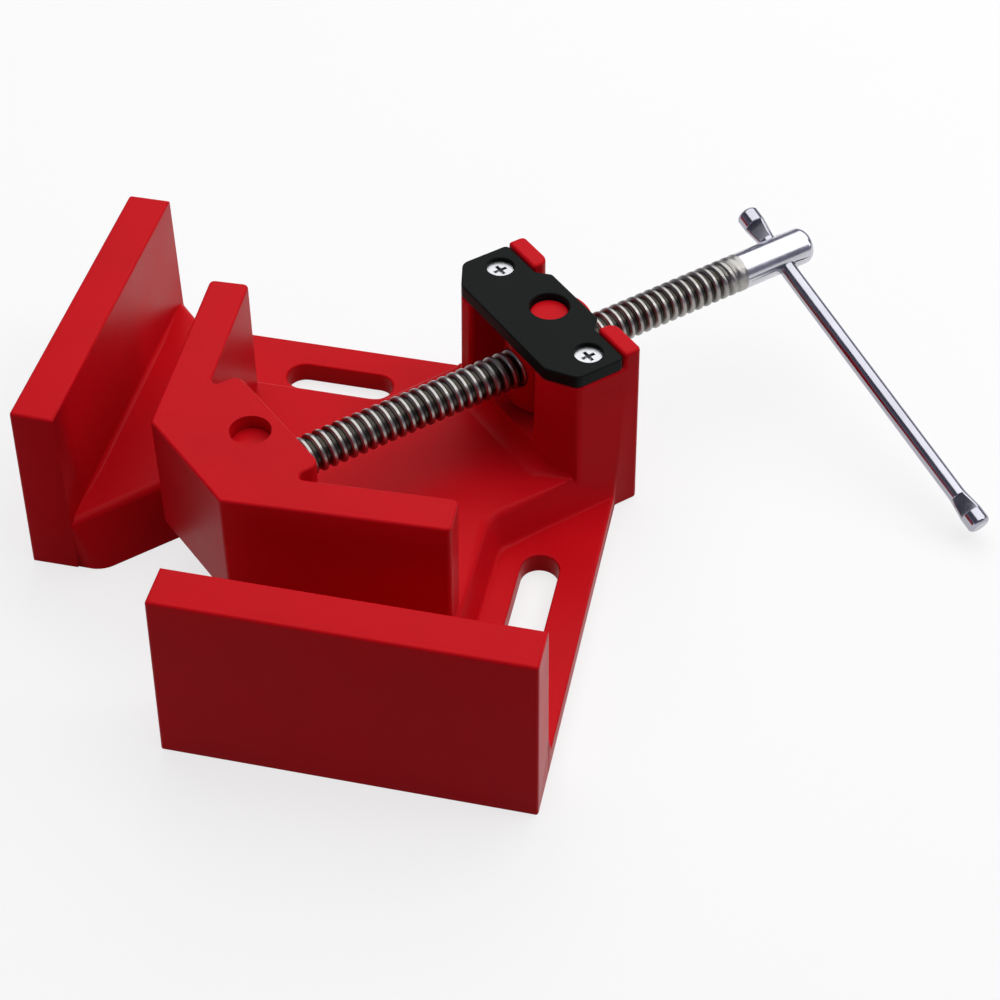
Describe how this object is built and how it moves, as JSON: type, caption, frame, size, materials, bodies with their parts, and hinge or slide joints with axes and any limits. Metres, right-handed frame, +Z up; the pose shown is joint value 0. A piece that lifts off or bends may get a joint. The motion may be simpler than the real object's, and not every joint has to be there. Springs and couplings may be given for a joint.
{
  "type": "corner clamp",
  "caption": "Right-angle corner clamp: fixed jaws on a slotted casting, a floating chevron jaw driven by a screw in a swivelling nut, turned by a sliding tommy bar.",
  "frame": {"origin": "work corner on the bench: where the planes of both fixed jaw faces cross the bench plane", "axes": "+X along the front fixed jaw, which is also the outward normal of the left jaw's face; +Y along the left fixed jaw; +Z up"},
  "size_m": [0.2552, 0.199, 0.0549],
  "materials": {
    "red_enamel": "glossy red enamel on a light-alloy casting",
    "red_jaw": "glossy red enamel on a light-alloy casting",
    "red_nut": "red enamel on a steel barrel",
    "red_pivot": "red enamel on a steel barrel",
    "black_satin": "satin black coating",
    "zinc_screw": "bright zinc plating",
    "thread_steel": "oiled rolled thread, bright plated head",
    "spring_steel": "dark spring steel",
    "bar_chrome": "bright plating"
  },
  "bodies": {
    "base": {"base_casting": "red_enamel", "cover_plate": "black_satin", "cover_screw_left": "zinc_screw", "cover_screw_right": "zinc_screw"},
    "nut": {"swivel_nut": "red_nut"},
    "pivot": {"pivot_barrel": "red_pivot"},
    "spindle": {"spindle": "thread_steel", "nose_clip": "spring_steel"},
    "handle": {"tommy_bar": "bar_chrome"},
    "jaw": {"moving_jaw": "red_jaw"}
  },
  "joints": [
    {"name": "nut_swivel", "type": "hinge", "parent": "base", "child": "nut", "pos_m": [0.1155, 0.1155, 0.037], "axis": [0, 0, 1], "range_deg": [-4, 4]},
    {"name": "spindle_advance", "type": "slide", "parent": "nut", "child": "pivot", "axis": [-0.7071, -0.7071, 0], "range_m": [-0.06, 0.025]},
    {"name": "spindle_turn", "type": "hinge", "parent": "pivot", "child": "spindle", "pos_m": [0.1155, 0.1155, 0.037], "axis": [-0.7071, -0.7071, 0], "range_deg": [-7205, 3005]},
    {"name": "handle_slide", "type": "slide", "parent": "spindle", "child": "handle", "axis": [0.6725, -0.6725, -0.309], "range_m": [-0.0833, 0]},
    {"name": "jaw_swivel", "type": "hinge", "parent": "pivot", "child": "jaw", "pos_m": [0.05045, 0.05045, 0.037], "axis": [0, 0, 1], "range_deg": [-6.3, 1.7]}
  ],
  "couplings": [
    {"joint": "spindle_turn", "follows": "spindle_advance", "rad_per_m": 2094.4}
  ]
}
